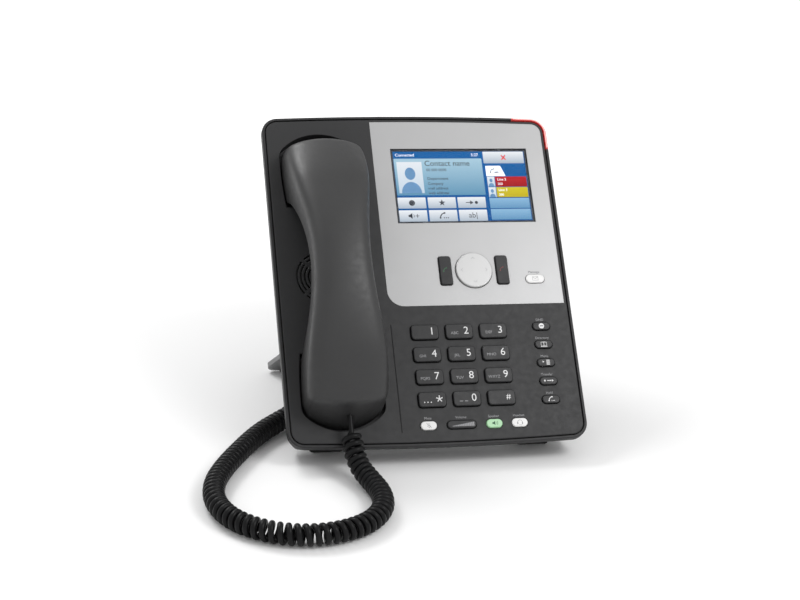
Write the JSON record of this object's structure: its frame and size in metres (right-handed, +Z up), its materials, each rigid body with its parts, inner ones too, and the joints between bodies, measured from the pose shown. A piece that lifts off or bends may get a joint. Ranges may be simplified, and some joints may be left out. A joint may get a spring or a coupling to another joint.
{
  "type": "desk phone",
  "caption": "Sloping desk phone with touch display, dial and call keys, a lift-off handset on a curly cord and a folding rear stand.",
  "frame": {"origin": "middle of the footprint, on the table the phone stands on, cord left out", "axes": "+Z up, +Y to the rear, +X to the right as seen by the person who dials"},
  "size_m": [0.2597, 0.2817, 0.1846],
  "materials": {
    "housing_plastic": "fine textured anthracite",
    "silver_panel": "satin silver paint",
    "screen_glass": "clear",
    "display": "lit display",
    "red_lens": "translucent red",
    "soft_rubber": "matt",
    "steel": "zinc plated",
    "circuit_board": "solder resist",
    "dark_fittings": "matt black",
    "socket_plastic": "black",
    "cord": "smooth soft plastic",
    "clear_plug": "clear",
    "dark_key": "satin black",
    "white_key": "satin white",
    "lit_key": "lit from behind, green",
    "silver_disc": "satin silver",
    "stand_plastic": "satin grey"
  },
  "bodies": {
    "base": {"front_cover": "housing_plastic", "display_panel": "silver_panel", "touch_glass": "screen_glass", "display_module": "display", "rear_housing": "housing_plastic", "rear_hump": "housing_plastic", "light_bar": "red_lens", "rubber_feet": "soft_rubber", "housing_screws": "steel", "stand_pins": "steel", "main_board": "circuit_board", "keypad_mat": "soft_rubber", "loudspeaker": "dark_fittings", "hands_free_microphone": "dark_fittings", "hook_switch": "dark_fittings", "handset_socket": "socket_plastic", "headset_socket": "socket_plastic", "network_socket": "socket_plastic", "computer_socket": "socket_plastic", "power_socket": "socket_plastic", "coil_cord": "cord", "base_lead": "cord", "base_plug": "clear_plug"},
    "handset": {"handset_back": "housing_plastic", "handset_front": "housing_plastic", "receiver_capsule": "dark_fittings", "microphone_capsule": "dark_fittings", "handset_weight": "steel", "handset_screws": "steel", "handset_lead": "cord", "handset_plug": "clear_plug"},
    "hook": {"hook_plunger": "dark_fittings"},
    "stand": {"stand": "stand_plastic", "stand_pads": "soft_rubber"},
    "volume_rocker": {"volume_rocker": "dark_key"},
    "key_1": {"key_1": "dark_key"},
    "key_2": {"key_2": "dark_key"},
    "key_3": {"key_3": "dark_key"},
    "key_4": {"key_4": "dark_key"},
    "key_5": {"key_5": "dark_key"},
    "key_6": {"key_6": "dark_key"},
    "key_7": {"key_7": "dark_key"},
    "key_8": {"key_8": "dark_key"},
    "key_9": {"key_9": "dark_key"},
    "key_star": {"key_star": "dark_key"},
    "key_0": {"key_0": "dark_key"},
    "key_hash": {"key_hash": "dark_key"},
    "silence_key": {"silence_key": "dark_key"},
    "directory_key": {"directory_key": "dark_key"},
    "menu_key": {"menu_key": "dark_key"},
    "transfer_key": {"transfer_key": "dark_key"},
    "hold_key": {"hold_key": "dark_key"},
    "message_key": {"message_key": "white_key"},
    "mute_key": {"mute_key": "white_key"},
    "headset_key": {"headset_key": "white_key"},
    "speaker_key": {"speaker_key": "lit_key"},
    "accept_key": {"accept_key": "dark_key"},
    "cancel_key": {"cancel_key": "dark_key"},
    "nav_disc": {"nav_disc": "silver_disc"}
  },
  "joints": [
    {"name": "handset_lift", "type": "slide", "parent": "base", "child": "handset", "axis": [0, -0.7193, 0.6947], "range_m": [0, 0.12]},
    {"name": "hook_rise", "type": "slide", "parent": "base", "child": "hook", "axis": [0, -0.7193, 0.6947], "range_m": [0, 0.0041]},
    {"name": "key_1_press", "type": "slide", "parent": "base", "child": "key_1", "axis": [0, 0.7193, -0.6947], "range_m": [0, 0.001], "stiffness_N_per_m": 300, "springref_m": -0.001},
    {"name": "key_2_press", "type": "slide", "parent": "base", "child": "key_2", "axis": [0, 0.7193, -0.6947], "range_m": [0, 0.001], "stiffness_N_per_m": 300, "springref_m": -0.001},
    {"name": "key_3_press", "type": "slide", "parent": "base", "child": "key_3", "axis": [0, 0.7193, -0.6947], "range_m": [0, 0.001], "stiffness_N_per_m": 300, "springref_m": -0.001},
    {"name": "key_4_press", "type": "slide", "parent": "base", "child": "key_4", "axis": [0, 0.7193, -0.6947], "range_m": [0, 0.001], "stiffness_N_per_m": 300, "springref_m": -0.001},
    {"name": "key_5_press", "type": "slide", "parent": "base", "child": "key_5", "axis": [0, 0.7193, -0.6947], "range_m": [0, 0.001], "stiffness_N_per_m": 300, "springref_m": -0.001},
    {"name": "key_6_press", "type": "slide", "parent": "base", "child": "key_6", "axis": [0, 0.7193, -0.6947], "range_m": [0, 0.001], "stiffness_N_per_m": 300, "springref_m": -0.001},
    {"name": "key_7_press", "type": "slide", "parent": "base", "child": "key_7", "axis": [0, 0.7193, -0.6947], "range_m": [0, 0.001], "stiffness_N_per_m": 300, "springref_m": -0.001},
    {"name": "key_8_press", "type": "slide", "parent": "base", "child": "key_8", "axis": [0, 0.7193, -0.6947], "range_m": [0, 0.001], "stiffness_N_per_m": 300, "springref_m": -0.001},
    {"name": "key_9_press", "type": "slide", "parent": "base", "child": "key_9", "axis": [0, 0.7193, -0.6947], "range_m": [0, 0.001], "stiffness_N_per_m": 300, "springref_m": -0.001},
    {"name": "key_star_press", "type": "slide", "parent": "base", "child": "key_star", "axis": [0, 0.7193, -0.6947], "range_m": [0, 0.001], "stiffness_N_per_m": 300, "springref_m": -0.001},
    {"name": "key_0_press", "type": "slide", "parent": "base", "child": "key_0", "axis": [0, 0.7193, -0.6947], "range_m": [0, 0.001], "stiffness_N_per_m": 300, "springref_m": -0.001},
    {"name": "key_hash_press", "type": "slide", "parent": "base", "child": "key_hash", "axis": [0, 0.7193, -0.6947], "range_m": [0, 0.001], "stiffness_N_per_m": 300, "springref_m": -0.001},
    {"name": "silence_key_press", "type": "slide", "parent": "base", "child": "silence_key", "axis": [0, 0.7193, -0.6947], "range_m": [0, 0.001], "stiffness_N_per_m": 300, "springref_m": -0.001},
    {"name": "directory_key_press", "type": "slide", "parent": "base", "child": "directory_key", "axis": [0, 0.7193, -0.6947], "range_m": [0, 0.001], "stiffness_N_per_m": 300, "springref_m": -0.001},
    {"name": "menu_key_press", "type": "slide", "parent": "base", "child": "menu_key", "axis": [0, 0.7193, -0.6947], "range_m": [0, 0.001], "stiffness_N_per_m": 300, "springref_m": -0.001},
    {"name": "transfer_key_press", "type": "slide", "parent": "base", "child": "transfer_key", "axis": [0, 0.7193, -0.6947], "range_m": [0, 0.001], "stiffness_N_per_m": 300, "springref_m": -0.001},
    {"name": "hold_key_press", "type": "slide", "parent": "base", "child": "hold_key", "axis": [0, 0.7193, -0.6947], "range_m": [0, 0.001], "stiffness_N_per_m": 300, "springref_m": -0.001},
    {"name": "message_key_press", "type": "slide", "parent": "base", "child": "message_key", "axis": [0, 0.7193, -0.6947], "range_m": [0, 0.001], "stiffness_N_per_m": 300, "springref_m": -0.001},
    {"name": "mute_key_press", "type": "slide", "parent": "base", "child": "mute_key", "axis": [0, 0.7193, -0.6947], "range_m": [0, 0.001], "stiffness_N_per_m": 300, "springref_m": -0.001},
    {"name": "headset_key_press", "type": "slide", "parent": "base", "child": "headset_key", "axis": [0, 0.7193, -0.6947], "range_m": [0, 0.001], "stiffness_N_per_m": 300, "springref_m": -0.001},
    {"name": "speaker_key_press", "type": "slide", "parent": "base", "child": "speaker_key", "axis": [0, 0.7193, -0.6947], "range_m": [0, 0.001], "stiffness_N_per_m": 300, "springref_m": -0.001},
    {"name": "accept_key_press", "type": "slide", "parent": "base", "child": "accept_key", "axis": [0, 0.7193, -0.6947], "range_m": [0, 0.001], "stiffness_N_per_m": 300, "springref_m": -0.001},
    {"name": "cancel_key_press", "type": "slide", "parent": "base", "child": "cancel_key", "axis": [0, 0.7193, -0.6947], "range_m": [0, 0.001], "stiffness_N_per_m": 300, "springref_m": -0.001},
    {"name": "nav_disc_press", "type": "slide", "parent": "base", "child": "nav_disc", "axis": [0, 0.7193, -0.6947], "range_m": [0, 0.0008], "stiffness_N_per_m": 300, "springref_m": -0.001},
    {"name": "volume_rock", "type": "hinge", "parent": "base", "child": "volume_rocker", "pos_m": [0.01465, -0.07859, 0.02231], "axis": [0, 0.6947, 0.7193], "range_deg": [-3, 3], "stiffness_Nm_per_rad": 0.02},
    {"name": "stand_fold", "type": "hinge", "parent": "base", "child": "stand", "pos_m": [0, 0.01554, 0.05443], "axis": [1, 0, 0], "range_deg": [0, 92.5]}
  ],
  "couplings": [
    {"joint": "hook_rise", "follows": "handset_lift", "ratio": 0.0333}
  ]
}
